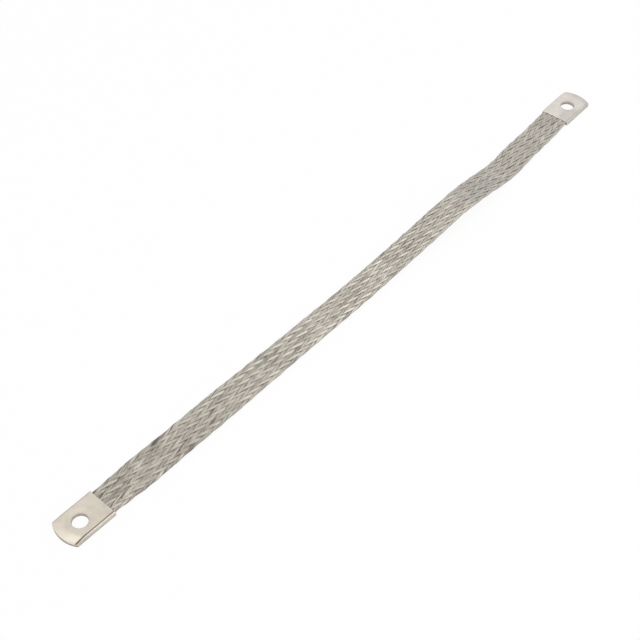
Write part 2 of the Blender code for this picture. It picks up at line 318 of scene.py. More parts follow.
def between(table, shares):
    """Reads values from a table of (share, value) rows, eased from row to row."""
    starts = np.array([row[0] for row in table])
    values = np.array([row[1] for row in table])
    shares = np.clip(shares, starts[0], starts[-1])
    row = np.clip(np.searchsorted(starts, shares, side="right") - 1, 0, len(starts) - 2)
    part = smooth((shares - starts[row]) / (starts[row + 1] - starts[row]))
    return values[row] + (values[row + 1] - values[row]) * part


# Route of the braid


def bolt_holes():
    """Centres of the two bolt holes on the contact plane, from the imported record's openings."""
    holes = {}
    for opening in frame["record"]["physics"]["openings"]:
        low, high = (Vector(corner) for corner in opening["box_m"])
        middle = (low + high) / 2
        holes[NEAR if middle.x < 0 else FAR] = Vector((middle.x, middle.y, 0.0))
    return holes


HOLES = bolt_holes()


def inward(side):
    """The way from a palm's hole to its mouth."""
    return Vector((-side * cos(YAW[side]), -side * sin(YAW[side]), 0.0))


def braid_route():
    """Corner points of the braid's middle line from one mouth to the other and a little inside."""
    level = BRAID_THICKNESS / 2 / min(share for _, share in WIDTHS) + FLOAT_HEIGHT + BRAID_LIFT
    reach = (HOLES[FAR] - HOLES[NEAR]).length / 2 - HOLE_TO_MOUTH
    points = [Vector((along * reach, HOLES[FAR].y - side * BOW, level + rise * HUMP))
              for along, side, rise in ROUTE]
    for side in (NEAR, FAR):
        start = HOLES[side] + Vector((0, 0, PALM_MIDDLE))
        clear = HOLES[side] + inward(side) * (HOLE_TO_MOUTH + SWELL) + Vector((0, 0, level))
        ends = [start, start + inward(side) * HOLE_TO_MOUTH, clear]
        points = ends + points if side < 0 else points + ends[::-1]
    return points


def curve_point(points, where):
    """A point on a smooth curve through the corner points; the whole part of where is the span."""
    last = len(points) - 1
    span = min(int(where), last - 1)
    share = where - span
    here, there = points[span], points[span + 1]
    before = points[span - 1] if span > 0 else here * 2 - there
    beyond = points[span + 2] if span + 2 <= last else there * 2 - here

    def slope(back, middle, ahead):
        behind, front = (middle - back).length, (ahead - middle).length
        return ((middle - back) / behind * front + (ahead - middle) / front * behind) / (behind + front)

    reach = (there - here).length
    slope_here = slope(before, here, there) * reach
    slope_there = slope(here, there, beyond) * reach
    square, cube = share ** 2, share ** 3
    return (here * (2 * cube - 3 * square + 1) + slope_here * (cube - 2 * square + share)
            + there * (3 * square - 2 * cube) + slope_there * (cube - square))


class Route:
    """The braid's middle line, walked in short steps, with length 0 at the near mouth."""

    def __init__(self, steps=16):
        points = braid_route()
        count = (len(points) - 1) * steps
        self.places = np.array([curve_point(points, step / steps)[:] for step in range(count + 1)])
        hops = np.linalg.norm(np.diff(self.places, axis=0), axis=1)
        walked = np.concatenate([[0.0], np.cumsum(hops)])
        self.lengths = walked - walked[steps]
        self.total = walked[-1 - steps] - walked[steps]
        heading = np.gradient(self.places, walked, axis=0)
        heading /= np.linalg.norm(heading, axis=1)[:, None]
        across = np.stack([-heading[:, 1], heading[:, 0], np.zeros(len(heading))], axis=1)
        self.across = across / np.linalg.norm(across, axis=1)[:, None]
        self.up = np.cross(heading, self.across)

    def read(self, column, length):
        """One of the route's tables at given lengths."""
        return np.stack([np.interp(length, self.lengths, column[:, axis]) for axis in range(3)],
                        axis=-1)

    def share(self, length):
        """Share of the way from the near mouth to the far one."""
        return length / self.total

    def woven(self, length):
        """0 where the braid is pressed in a mouth, 1 where it has swelled to its full section."""
        nearest = np.minimum(length, self.total - length)
        return np.sin(pi / 2 * np.clip(nearest / SWELL, 0.0, 1.0))


ROUTE_LINE = Route()


def section(length):
    """Width and thickness of the flattened tube on which the carriers' middles lie."""
    half_ribbon = RIBBON_THICKNESS / 2
    share = ROUTE_LINE.share(length)
    inset = (FLOAT_RISE + half_ribbon) * between(RELIEF, share) - FLOAT_HEIGHT
    wide = BRAID_WIDTH * between(WIDTHS, share)
    thick = BRAID_THICKNESS * BRAID_WIDTH / wide - 2 * inset
    woven = ROUTE_LINE.woven(length)
    squeezed = MOUTH_SQUEEZE * 2 * (FLOAT_RISE + half_ribbon)
    pressed_wide = POCKET_WIDTH - squeezed - 4 * CORE_GAP
    pressed_thick = POCKET_HEIGHT - squeezed - 4 * CORE_GAP
    wide = pressed_wide + (wide - 2 * inset - pressed_wide) * woven
    return wide, pressed_thick + (thick - pressed_thick) * woven


def edge_wave(length, side):
    """How far an edge of the braid bulges where its carriers turn back, uneven along the length."""
    phase = np.where(side > 0, *EDGE_PHASES)
    swell = 0.65 + 0.35 * np.sin(2 * pi * length / EDGE_SWELL_LENGTH + 2 * phase)
    drift = 0.8 * np.sin(2 * pi * length / EDGE_DRIFT_LENGTH + phase)
    turn = 2 * pi * length / EDGE_WAVE_LENGTH + phase + drift
    return EDGE_WAVE * swell * np.sin(turn) * ROUTE_LINE.woven(length)


def on_braid(column, length, height):
    """Places in the frame, from the wale round the braid, the length along it and the height
    over its skin."""
    width, thickness = section(length)
    radius = thickness / 2
    flat = width - thickness
    bend = pi * radius
    along = (column / WALES % 1.0) * 2 * (flat + bend)
    slide = np.clip(along, 0, flat / 2) - np.clip(along - flat / 2 - bend, 0, flat)
    slide = slide + np.clip(along - 1.5 * flat - 2 * bend, 0, flat / 2)
    turned = np.clip(along - flat / 2, 0, bend) + np.clip(along - 1.5 * flat - bend, 0, bend)
    angle = turned / radius - pi / 2
    side = slide + (radius + height) * np.cos(angle)
    rise = (radius + height) * np.sin(angle)
    outward = np.sign(side) * np.clip(2 * np.abs(side) / width, 0, 1) ** 3
    side = side + outward * edge_wave(length, side)
    place = ROUTE_LINE.read(ROUTE_LINE.places, length)
    across = ROUTE_LINE.read(ROUTE_LINE.across, length)
    up = ROUTE_LINE.read(ROUTE_LINE.up, length)
    return place + across * side[..., None] + up * rise[..., None]


# Carriers and loose wires


def wander(rng, length, size, waves):
    """A slow random drift along a length, as a sum of sines."""
    drift = np.zeros_like(length)
    for wave in waves:
        drift = drift + np.sin(2 * pi * length / wave + rng.uniform(0, 2 * pi)) * rng.uniform(0.4, 1.0)
    return drift * size / len(waves)


def grid_faces(rows, ring):
    """Quads between neighbouring rings of as many points each."""
    row, step = np.meshgrid(np.arange(rows - 1), np.arange(ring), indexing="ij")
    here, after = row * ring, (step + 1) % ring
    quads = [here + step, here + after, here + ring + after, here + ring + step]
    return np.stack(quads, axis=-1).reshape(-1, 4)


def tube_mesh(name, tubes, material):
    """One object from several closed tubes, each a grid of points with a tone for each point."""
    verts, quads, caps, tones = [], [], [], []
    base = 0
    for points, tone in tubes:
        rows, ring = points.shape[:2]
        verts.append(points.reshape(-1, 3))
        tones.append(tone.reshape(-1))
        quads.append(grid_faces(rows, ring) + base)
        caps.append(tuple(range(base + ring - 1, base - 1, -1)))
        caps.append(tuple(range(base + (rows - 1) * ring, base + rows * ring)))
        base += rows * ring
    faces = [tuple(quad) for quad in np.concatenate(quads).tolist()] + caps
    mesh = bpy.data.meshes.new(name)
    mesh.from_pydata(np.concatenate(verts).tolist(), [], faces)
    mesh.shade_smooth()
    set_marks(mesh, "tone", np.concatenate(tones))
    mesh.materials.append(material)
    mesh.update()
    thing = bpy.data.objects.new(name, mesh)
    bpy.context.scene.collection.objects.link(thing)
    return thing


def set_marks(mesh, name, values):
    """Gives each point of a mesh a value that its material reads."""
    marks = mesh.attributes.new(name, "FLOAT", "POINT")
    marks.data.foreach_set("value", values.astype(np.float32))


def sharpen_valleys(mesh):
    """Makes the edges that run along the valleys between a ribbon's wires sharp."""
    ends = np.zeros(len(mesh.edges) * 2, np.int32)
    mesh.edges.foreach_get("vertices", ends)
    first, second = (ends.reshape(-1, 2) % len(ACROSS)).T
    sharp = mesh.attributes.new("sharp_edge", "BOOLEAN", "EDGE")
    sharp.data.foreach_set("value", (first == second) & IN_VALLEY[first])


def float_shape(crossing):
    """How far a carrier stands out: +1 at the middle of a float over two, -1 under two."""
    wave = np.cos(2 * pi * (crossing - 0.5) / 4)
    return np.tanh(FLOAT_FLATNESS * wave) / np.tanh(FLOAT_FLATNESS)


def relief(length):
    """Share of the weave's full height: less in the mouths and in the worn-flat far third."""
    squeeze = MOUTH_SQUEEZE + (1 - MOUTH_SQUEEZE) * ROUTE_LINE.woven(length)
    return squeeze * between(RELIEF, ROUTE_LINE.share(length))


def carrier_height(hand, crossing, length):
    """Height of a carrier's middle over the braid's skin."""
    return hand * FLOAT_RISE * float_shape(crossing) * relief(length)


def place_on_carrier(hand, number, drift, length, offset):
    """Wale and length of points that lie off a carrier's middle line by an offset, the crossing
    there, and the spacing of the carriers."""
    width, thickness = section(length)
    wale = (2 * (width - thickness) + pi * thickness) / WALES
    lean = np.arctan2(wale, LAY_PITCH)
    column = number + hand * length / LAY_PITCH + drift + offset * np.cos(lean) / wale
    length = length - hand * offset * np.sin(lean)
    crossing = column + hand * length / LAY_PITCH + number
    return column, length, crossing, wale * np.cos(lean)


def wires_of_carrier(rng, stations):
    """How each wire lifts, how light it is and where it splits from the next, by station and point."""
    shape = len(stations), len(ACROSS)
    lift, tone, split = np.zeros(shape), np.zeros(shape), np.zeros(shape)
    wire_of_point = np.minimum(np.arange(len(ACROSS)) // 2, WIRES - 1)
    for wire in range(WIRES):
        lift[:, 2 * wire + 1] = wander(rng, stations, *WIRE_LIFT)
        if wire % WIRES_IN_BUNDLE == 0:
            bundle = wander(rng, stations, *BUNDLE_TONE)
        tone[:, wire_of_point == wire] = (bundle + rng.normal(0, WIRE_TONE_SPREAD))[:, None]
        if wire > 0:
            split[:, 2 * wire] = np.clip(wander(rng, stations, *SPLITS) - SPLIT_RARITY, 0, 1)
    return lift, tone, split


def carrier_tone(rng, hand, stations, crossing, wire_tone, split):
    """How light each point of a carrier is, by its float and wire, with painted shade and highlight."""
    share = ROUTE_LINE.share(stations)[:, None]
    # the weave repeats every four crossings, so each four hold one float
    number = np.floor((crossing - hand + 1.5) / 4).astype(int) % FLOAT_TONES
    float_tone = np.clip(rng.normal(0, 1, FLOAT_TONES), *FLOAT_TONE_LIMITS)[number]
    variety = between(VARIETY, share)
    tone = variety * (FLOAT_VARIETY * float_tone + WIRE_VARIETY * wire_tone)
    # each hand's lightness, with the painted highlight on hand 1's floats
    tone = tone + between(LIGHTNESS_AND_SHEEN[hand], share)
    # painted shade where the other hand covers the carrier
    hidden = smooth(0.5 - hand * float_shape(crossing) / 1.6) * between(HIDDEN_SHADE, share)
    # both edges of a ribbon get painted shade, but in the far third only one, as a painted shadow
    far_third = smooth(share_of(share, *FAR_THIRD))
    both_edges = smooth(share_of(np.abs(ACROSS), 0.60, 1.00))
    one_edge = smooth(share_of(ACROSS, 0.62, 0.92))
    edge = both_edges * (1 - far_third) + one_edge * far_third
    edge = edge * between(EDGE_SHADE[hand], share)
    edge = edge * (1 + far_third * rng.uniform(*FAR_EDGE_VARIETY, FLOAT_TONES)[number])
    tone = tone * (1 - hidden) * (1 - np.clip(edge, 0, EDGE_SHADE_MOST))
    # painted shade in the valleys between wires and in the splits
    return np.clip(tone - VALLEY_SHADE * IN_VALLEY - SPLIT_SHADE * variety * split, 0, 1)


def carrier(hand, number, rng):
    """One carrier as a closed ribbon of ridged wires, from inside one mouth to inside the other."""
    stations = np.arange(-TUCKED_IN, ROUTE_LINE.total + TUCKED_IN, STATION_STEP)
    drift = wander(rng, stations, *PLACE_DRIFT)
    fill = between(RIBBON_FILL[hand], ROUTE_LINE.share(stations))
    fill = fill + wander(rng, stations, *FILL_DRIFT)
    length = np.repeat(stations[:, None], len(ACROSS), axis=1)
    pitch = place_on_carrier(hand, number, 0.0, length, 0.0)[3]
    offset = ACROSS * (pitch / 2) * fill[:, None]
    column, length, crossing, _ = place_on_carrier(hand, number, drift[:, None], length, offset)
    lift, wire_tone, split = wires_of_carrier(rng, stations)
    dome = np.where(ON_TOP, 1 - np.abs(ACROSS) ** DOME_POWER, -UNDERSIDE_DEPTH)
    shape = RIBBON_THICKNESS / 2 * dome - WIRE_RIDGE * IN_VALLEY - SPLIT_DEPTH * split
    height = carrier_height(hand, crossing, length) + shape * relief(length) + lift
    tone = carrier_tone(rng, hand, stations, crossing, wire_tone, split)
    return on_braid(column, length, height), tone


def nearest_float(hand, number, length):
    """The length nearest to a given one at which a carrier is in the middle of a float."""
    # the weave repeats every four crossings, and the two hands' floats are two crossings apart
    crossing = 2 * number + 2 * hand * length / LAY_PITCH
    middle = 0.5 if hand > 0 else 2.5
    return length + hand * ((middle - crossing + 2) % 4 - 2) * LAY_PITCH / 2


def loose_wires(rng):
    """Single wires on the upper side that have worked a little loose and lie proud over a float."""
    along = np.linspace(-1, 1, LOOSE_STEPS)
    angles = np.arange(LOOSE_SIDES) * 2 * pi / LOOSE_SIDES
    tubes = []
    for _ in range(LOOSE_TRIES):
        hand = rng.choice((-1, 1))
        number = int(rng.integers(WALES))
        share = LOOSE_START + LOOSE_SPAN * rng.uniform(0, 1) ** LOOSE_CROWDING
        start = nearest_float(hand, number, ROUTE_LINE.total * share)
        half = LOOSE_HALF_LENGTH * rng.uniform(0.8, 1.25)
        around = (number + hand * start / LAY_PITCH) / WALES % 1.0
        if not UPPER_SIDE[0] < around < UPPER_SIDE[1]:
            continue
        length = start + half * along
        side = rng.uniform(-LOOSE_SIDEWAYS, LOOSE_SIDEWAYS)
        side = side + along * rng.uniform(-LOOSE_SLANT, LOOSE_SLANT)
        column, length, crossing, _ = place_on_carrier(hand, number, 0.0, length, side)
        dome = RIBBON_THICKNESS / 2 * (1 - np.abs(side / HALF_RIBBON) ** DOME_POWER)
        arch = (1 - along ** 2) * rng.uniform(*LOOSE_ARCH)
        height = carrier_height(hand, crossing, length) + dome + arch - LOOSE_SINK
        columns = column[:, None] + np.cos(angles) * LOOSE_RADIUS / MEAN_WALE
        heights = height[:, None] + np.sin(angles) * LOOSE_RADIUS
        lengths = np.repeat(length[:, None], LOOSE_SIDES, axis=1)
        points = on_braid(columns, lengths, heights)
        tubes.append((points, np.full(points.shape[:2], rng.uniform(*LOOSE_TONES))))
    return tubes


# Palms


def arc(centre, radius, start, end, steps):
    """Points of an arc in a plane, from one angle to another in degrees."""
    points = []
    for step in range(steps + 1):
        angle = radians(start + (end - start) * step / steps)
        points.append((centre[0] + radius * cos(angle), centre[1] + radius * sin(angle)))
    return points


def palm_profile(crease_depth, crown):
    """Half of the pressed tube's outline across, as (y, z), with a fold that stands up outside a
    crease and a land that drops by the crown towards it."""
    side = PALM_WIDTH / 2
    top = PALM_THICKNESS
    land = top - LAND_DROP
    crease = side - FOLD_LIP
    base = [(side * share, 0.0) for share in (0.0, 0.12, 0.24, 0.36, 0.48, 0.60, 0.72, 0.84)]
    base += arc((side - BASE_ROUND, BASE_ROUND), BASE_ROUND, -90, 0, 6)
    fold = arc((side - FOLD_ROUND, top - FOLD_ROUND), FOLD_ROUND, 0, 90, 8)
    fold.append((crease + CREASE_WIDTH * 1.2, top - FOLD_TOP_DROP))
    inner = [(crease + CREASE_WIDTH * out, land - crease_depth * deep) for out, deep in CREASE_SHAPE]
    # the land's last three steps would lie in the crease
    inner += [(side * step / LAND_STEPS, land) for step in range(LAND_STEPS - 3, -1, -1)]
    inner = [(y, z - crown * (y / crease) ** 2 if y < crease else z) for y, z in inner]
    return base + fold + inner


def nose_edge(offset, side):
    """How far the nose reaches from the bolt hole, at an offset from the palm's middle line."""
    reach = HOLE_TO_CROWN[side] - (NOSE_RADIUS - sqrt(NOSE_RADIUS ** 2 - offset ** 2))
    corner = CORNER_RADIUS[side]
    past = abs(offset) - (PALM_WIDTH / 2 - corner)
    if past > 0:
        reach -= corner - sqrt(max(0.0, corner ** 2 - past ** 2))
    return reach


def loft(sections):
    """Joins rings of as many points each with faces and closes both ends."""
    data = bmesh.new()
    rings = [[data.verts.new(point) for point in ring] for ring in sections]
    count = len(rings[0])
    for first, second in zip(rings, rings[1:]):
        for step in range(count):
            after = (step + 1) % count
            data.faces.new((first[step], first[after], second[after], second[step]))
    data.faces.new(rings[0])
    data.faces.new(list(reversed(rings[-1])))
    return data


def add_object(name, data, material=None, sharp=30):
    """Turns finished mesh data into an object with its faces pointing out."""
    bmesh.ops.recalc_face_normals(data, faces=data.faces)
    mesh = bpy.data.meshes.new(name)
    data.to_mesh(mesh)
    data.free()
    if material:
        mesh.materials.append(material)
    mesh.shade_smooth()
    mesh.set_sharp_from_angle(angle=radians(sharp))
    thing = bpy.data.objects.new(name, mesh)
    bpy.context.scene.collection.objects.link(thing)
    return thing


def cut(thing, cutter):
    """Cuts one shape out of another and removes the cutter."""
    modifier = thing.modifiers.new("cut", "BOOLEAN")
    modifier.operation = "DIFFERENCE"
    modifier.solver = "EXACT"
    modifier.object = cutter
    bpy.context.view_layer.objects.active = thing
    thing.select_set(True)
    bpy.ops.object.modifier_apply(modifier=modifier.name)
    thing.select_set(False)
    bpy.data.objects.remove(cutter)


def shell_point(side, y, z, share):
    """Where a point of the outline across lies, at a share of the way from the nose to the mouth."""
    nose = -nose_edge(y, side)
    mouth = HOLE_TO_MOUTH + MOUTH_EAR * (2 * abs(y) / PALM_WIDTH) ** EAR_SHARPNESS
    x = nose + (mouth - nose) * share
    # the nose slopes down to its own thickness, and its edge is rounded
    to_crease = float(smooth(0.5 + y * side / PALM_WIDTH))
    thin = SHUT_NOSE[side] + (CREASED_NOSE[side] - SHUT_NOSE[side]) * to_crease
    rise = sin(pi / 2 * min(1.0, (x - nose) / NOSE_SLOPE))
    tall = thin + (PALM_THICKNESS - thin) * rise
    middle = tall / 2
    edge = sqrt(1 - (1 - min(1.0, (x - nose) / NOSE_ROUND)) ** 2)
    z = z * tall / PALM_THICKNESS
    z = middle + (z - middle) * (NOSE_BLUNTNESS + (1 - NOSE_BLUNTNESS) * edge)
    # the mouth's edge is rounded
    past = min(1.0, max(0.0, 1 - (mouth - x) / MOUTH_ROUND[side]))
    z -= (z - middle) / middle * MOUTH_ROUND[side] * (1 - sqrt(1 - past ** 2))
    # the top has faint marks of the press and is dished round the hole
    if z > middle:
        wave = noise.noise(Vector((x, y, 0)) * PRESS_WAVE_SCALE + Vector((side * 7, 3, 1)))
        dish = 1 - (sqrt(x * x + y * y) - BORE - HOLE_RIM) / DISH_REACH
        z += wave * PRESS_WAVE - DISH_DEPTH * float(smooth(dish))
    return x, y, z


def palm_shell(name, side, material):
    """The outside of one palm, with its hole at the origin and its mouth towards +X."""
    halves = palm_profile(OPEN_CREASE[side], CROWN), palm_profile(SHUT_CREASE, 0.0)
    left, right = halves if side == FAR else halves[::-1]
    ring = left + [(-y, z) for y, z in reversed(right[1:-1])]
    length = HOLE_TO_MOUTH + HOLE_TO_CROWN[side]
    steps = [NOSE_ROUND * share for share in (0.0, 0.05, 0.15, 0.3, 0.5, 0.75, 1.0)]
    steps += [NOSE_ROUND + (NOSE_SLOPE - NOSE_ROUND) * step / 12 for step in range(1, 13)]
    steps += [NOSE_SLOPE + (length - NOSE_SLOPE) * step / 34 for step in range(1, 32)]
    back_steps = [0.0012, 0.0006]
    back_steps += [MOUTH_ROUND[side] * share for share in (1.0, 0.6, 0.3, 0.1, 0.0)]
    shares = [step / length for step in steps] + [1 - step / length for step in back_steps]
    sections = [[shell_point(side, y, z, share) for y, z in ring] for share in shares]
    return add_object(name, loft(sections), material)


def pocket_cutter():
    """The space inside the tube, open at the mouth and slightly flared there."""
    radius = POCKET_HEIGHT / 2
    reach = POCKET_WIDTH / 2 - radius
    outline = arc((reach, PALM_MIDDLE), radius, -90, 90, 16)
    outline += arc((-reach, PALM_MIDDLE), radius, 90, 270, 16)
    flare_start = HOLE_TO_MOUTH - FLARE_REACH
    past_mouth = HOLE_TO_MOUTH + FLARE_REACH
    sections = []
    for x, grow in ((-POCKET_END, 0.0), (flare_start, 0.0), (past_mouth, 2 * MOUTH_FLARE)):
        points = []
        for y, z in outline:
            away = Vector((y, z - PALM_MIDDLE)).normalized() * grow
            points.append((x, y + away.x, z + away.y))
        sections.append(points)
    return add_object("pocket_cutter", loft(sections))


def turned(profile):
    """Rings of a turned shape from its (radius, height) points."""
    angles = [2 * pi * step / HOLE_SIDES for step in range(HOLE_SIDES)]
    return [[(radius * cos(angle), radius * sin(angle), z) for angle in angles]
            for radius, z in profile]


def hole_cutter():
    """A turned cutter for the bolt hole, with a rounded rim on both faces."""
    top = PALM_THICKNESS - LAND_DROP - DISH_DEPTH
    low_rim = arc((BORE + HOLE_RIM, HOLE_RIM - RIM_PAST), HOLE_RIM, 270, 180, 8)
    high_rim = arc((BORE + HOLE_RIM, top - HOLE_RIM + RIM_PAST), HOLE_RIM, 180, 90, 8)
    profile = [(BORE + HOLE_RIM, -HOLE_RIM)] + low_rim + high_rim
    profile.append((BORE + HOLE_RIM, PALM_THICKNESS + HOLE_RIM))
    return add_object("hole_cutter", loft(turned(profile)))


def make_palm(name, side, material):
    """One whole palm in its place: the pressed tube with its pocket and its punched hole."""
    palm = palm_shell(name, side, material)
    cut(palm, pocket_cutter())
    cut(palm, hole_cutter())
    paint_palm_shade(palm.data, side)
    set_in_place(palm, side)
    return palm


def paint_palm_shade(mesh, side):
    """Marks painted shade, some dirt in the crease, and a painted lip highlight that clears the shade.
    """
    places = np.zeros(len(mesh.vertices) * 3)
    mesh.vertices.foreach_get("co", places)
    x, y, z = places.reshape(-1, 3).T
    half = PALM_WIDTH / 2
    inset = half - np.abs(y)
    outward = y * side / half
    creased = outward > 0
    from_nose = x + np.array([nose_edge(offset, side) for offset in np.clip(y, -half, half)])
    # painted shade in the open crease, with some real dirt there, spreading wider towards the nose
    spread = CREASE_WIDTH * (1 + CREASE_SHADE_SPREAD * smooth(-x / 0.012))
    in_crease = CREASE_SHADE_AND_DIRT[side] * share_of(np.abs(inset - FOLD_LIP) / spread, 1.5, 0.5)
    in_crease = in_crease * creased * (z > CREASE_SHADE_FLOOR) * smooth(from_nose / 0.0012)
    # painted shade over the land on the creased side, towards the mouth
    on_land = LAND_SHADE[side] * smooth(y * side / 0.004) * smooth((x + 0.004) / 0.008)
    # painted shade on the hole's wall and rim
    rim = (np.hypot(x, y) - BORE) / HOLE_RIM
    in_hole = HOLE_SHADE * share_of(rim, 1.3, 0.5)
    # painted shade low on the sides, darker towards the base
    at_base = BASE_SHADE * share_of(z, *BASE_SHADE_HEIGHT)
    # painted shade along the outer folds, wider on the shut side, darker towards the nose on the
    # creased side
    creased_fold = FOLD_SHADE[side] + FOLD_SHADE_TO_NOSE * share_of(x, 0.005, -0.010)
    fold_width = np.where(creased, FOLD_SHADE_WIDTH, SHUT_SHADE_WIDTH)
    on_fold = share_of(inset, fold_width, fold_width - FOLD_SHADE_EDGE)
    on_fold = on_fold * np.where(creased, creased_fold, SHUT_FOLD_SHADE[side])
    # painted shade on the nose's face, darker towards the creased side
    on_nose = NOSE_SHADE + NOSE_SHADE_TO_CREASE * smooth(0.8 + outward)
    on_nose = on_nose * share_of(from_nose, *NOSE_SHADE_REACH)
    # the palm's painted shade, with some dirt in the crease, is the greatest of these marks
    painted_shade_and_dirt = np.maximum.reduce([in_crease, in_hole, at_base, on_fold, on_nose, on_land])
    # a painted highlight on the top of the mouth's lip, weaker towards the creased side, clearing the
    # painted shade
    on_lip = share_of(x - HOLE_TO_MOUTH, -LIP_WIDTH, LIP_EDGE - LIP_WIDTH)
    painted_lip_highlight = on_lip * (z > PALM_MIDDLE)
    painted_lip_highlight = painted_lip_highlight * LIP_HIGHLIGHT[side] * (1 - 0.8 * smooth(0.4 + outward))
    set_marks(mesh, "painted_shade_and_dirt", painted_shade_and_dirt * (1 - painted_lip_highlight))
    set_marks(mesh, "painted_lip_highlight", painted_lip_highlight)


def set_in_place(thing, side):
    """Turns and moves a thing made with its bolt hole at the origin and its mouth towards +X."""
    turn = YAW[side] + (pi if side == FAR else 0)
    thing.data.transform(Matrix.Translation(HOLES[side]) @ Matrix.Rotation(turn, 4, "Z"))


def pressed_core(name, side, material):
    """The end of the braid inside a palm, pressed solid and punched with the palm."""
    radius = POCKET_HEIGHT / 2 - CORE_GAP
    reach = POCKET_WIDTH / 2 - CORE_GAP - radius
    outline = arc((reach, PALM_MIDDLE), radius, -90, 90, 8)
    outline += arc((-reach, PALM_MIDDLE), radius, 90, 270, 8)
    ends = CORE_GAP - POCKET_END, HOLE_TO_MOUTH - CORE_INSET
    core = add_object(name, loft([[(x, y, z) for y, z in outline] for x in ends]), material)
    bore = HOLE_DIAMETER / 2
    profile = [(bore, -CUTTER_PAST), (bore, PALM_THICKNESS + CUTTER_PAST)]
    cut(core, add_object("core_cutter", loft(turned(profile))))
    set_in_place(core, side)
    return core


# Materials


def node(tree, kind, inputs=None, **settings):
    """Adds a shader node, with its inputs set to values or joined to other nodes' outputs."""
    made = tree.nodes.new(kind)
    for setting, value in settings.items():
        setattr(made, setting, value)
    for key, value in (inputs or {}).items():
        if isinstance(value, bpy.types.NodeSocket):
            tree.links.new(value, made.inputs[key])
        else:
            made.inputs[key].default_value = value
    return made


def ramp(tree, factor, stops):
    """A colour ramp of (position, colour) stops."""
    made = node(tree, "ShaderNodeValToRGB", {"Fac": factor})
    elements = made.color_ramp.elements
    while len(elements) < len(stops):
        elements.new(0.5)
    for element, (position, colour) in zip(elements, stops):
        element.position = position
        element.color = (*colour, 1.0)
    return made.outputs["Color"]


def mix(tree, factor, first, second, blend="MIX"):
    """Mixes two colours."""
    mixed = node(tree, "ShaderNodeMix", {"Factor": factor, "A": first, "B": second},
                 data_type="RGBA", blend_type=blend)
    return mixed.outputs["Result"]


def reckon(tree, operation, first, second):
    """Reckons one value from two."""
    return node(tree, "ShaderNodeMath", {0: first, 1: second}, operation=operation).outputs["Value"]


def attribute(tree, name):
    """A value that the mesh gives for each of its points."""
    return node(tree, "ShaderNodeAttribute", attribute_name=name).outputs["Fac"]


def noise_of(tree, place, scale, detail=3.0, roughness=0.5):
    """Soft random patches; a greater scale makes smaller ones."""
    return node(tree, "ShaderNodeTexNoise", {"Vector": place, "Scale": scale, "Detail": detail,
                                             "Roughness": roughness}).outputs["Fac"]


def span(tree, value, low, high):
    """Maps 0..1 to a range."""
    mapped = node(tree, "ShaderNodeMapRange", {"Value": value, "To Min": low, "To Max": high})
    return mapped.outputs["Result"]


def new_metal(name):
    """A bare metal, with its node tree, its shader and the place on the object."""
    material = bpy.data.materials.new(name)
    material.use_nodes = True
    tree = material.node_tree
    shader = tree.nodes["Principled BSDF"]
    shader.inputs["Metallic"].default_value = 1.0
    place = node(tree, "ShaderNodeTexCoord").outputs["Object"]
    return material, tree, shader, place


def tint(tree, colour, place, scale, strength):
    """Lets a colour drift slightly between pinkish and greenish from place to place."""
    where = span(tree, noise_of(tree, place, scale, 2.0, 0.5), -1.0, 2.0)
    hue = ramp(tree, where, ((0.25, PINKISH), (0.75, GREENISH)))
    return mix(tree, strength, colour, hue, "MULTIPLY")


def tinned_tube(name, colours):
    """Satin tin plate: soft mottling, faint press marks, drawing lines, painted shade and highlight."""
    material, tree, shader, place = new_metal(name)
    patches = noise_of(tree, place, 170.0, 4.0, 0.55)
    stretched = node(tree, "ShaderNodeMapping", {"Vector": place, "Scale": (0.15, 1.0, 1.0)})
    lines = noise_of(tree, stretched.outputs["Vector"], 2600.0, 2.0, 0.6)
    grain = noise_of(tree, place, 3800.0, 3.0, 0.6)
    plate = ramp(tree, patches, tuple(zip((0.30, 0.52, 0.72), colours)))
    # painted shade, with some dirt in the crease, darkens the plate
    with_shade = mix(tree, attribute(tree, "painted_shade_and_dirt"), tint(tree, plate, place, 240.0, 0.6), SHADE_AND_DIRT_COLOUR)
    # the painted highlight on the mouth's lip
    with_highlight = mix(tree, attribute(tree, "painted_lip_highlight"), with_shade, LIP_HIGHLIGHT_COLOUR)
    tree.links.new(with_highlight, shader.inputs["Base Color"])
    rough = reckon(tree, "ADD", span(tree, patches, 0.30, 0.46), span(tree, grain, -0.04, 0.04))
    tree.links.new(rough, shader.inputs["Roughness"])
    first = node(tree, "ShaderNodeBump", {"Height": grain, "Strength": 0.10, "Distance": 0.0001})
    second = node(tree, "ShaderNodeBump", {"Height": lines, "Strength": 0.08, "Distance": 0.0001,
                                           "Normal": first.outputs["Normal"]})
    tree.links.new(second.outputs["Normal"], shader.inputs["Normal"])
    return material


def cut_wire():
    """The punched face of the pressed braid: dull cut ends of wire with dark gaps between them."""
    material, tree, shader, place = new_metal("cut_wire_ends")
    shader.inputs["Metallic"].default_value = 0.6
    dots = node(tree, "ShaderNodeTexVoronoi", {"Vector": place, "Scale": 4200.0}).outputs["Distance"]
    tree.links.new(ramp(tree, dots, CUT_COLOURS), shader.inputs["Base Color"])
    tree.links.new(span(tree, dots, 0.45, 0.75), shader.inputs["Roughness"])
    bump = node(tree, "ShaderNodeBump", {"Height": dots, "Strength": 0.5, "Distance": 0.00008},
                invert=True)
    tree.links.new(bump.outputs["Normal"], shader.inputs["Normal"])
    return material


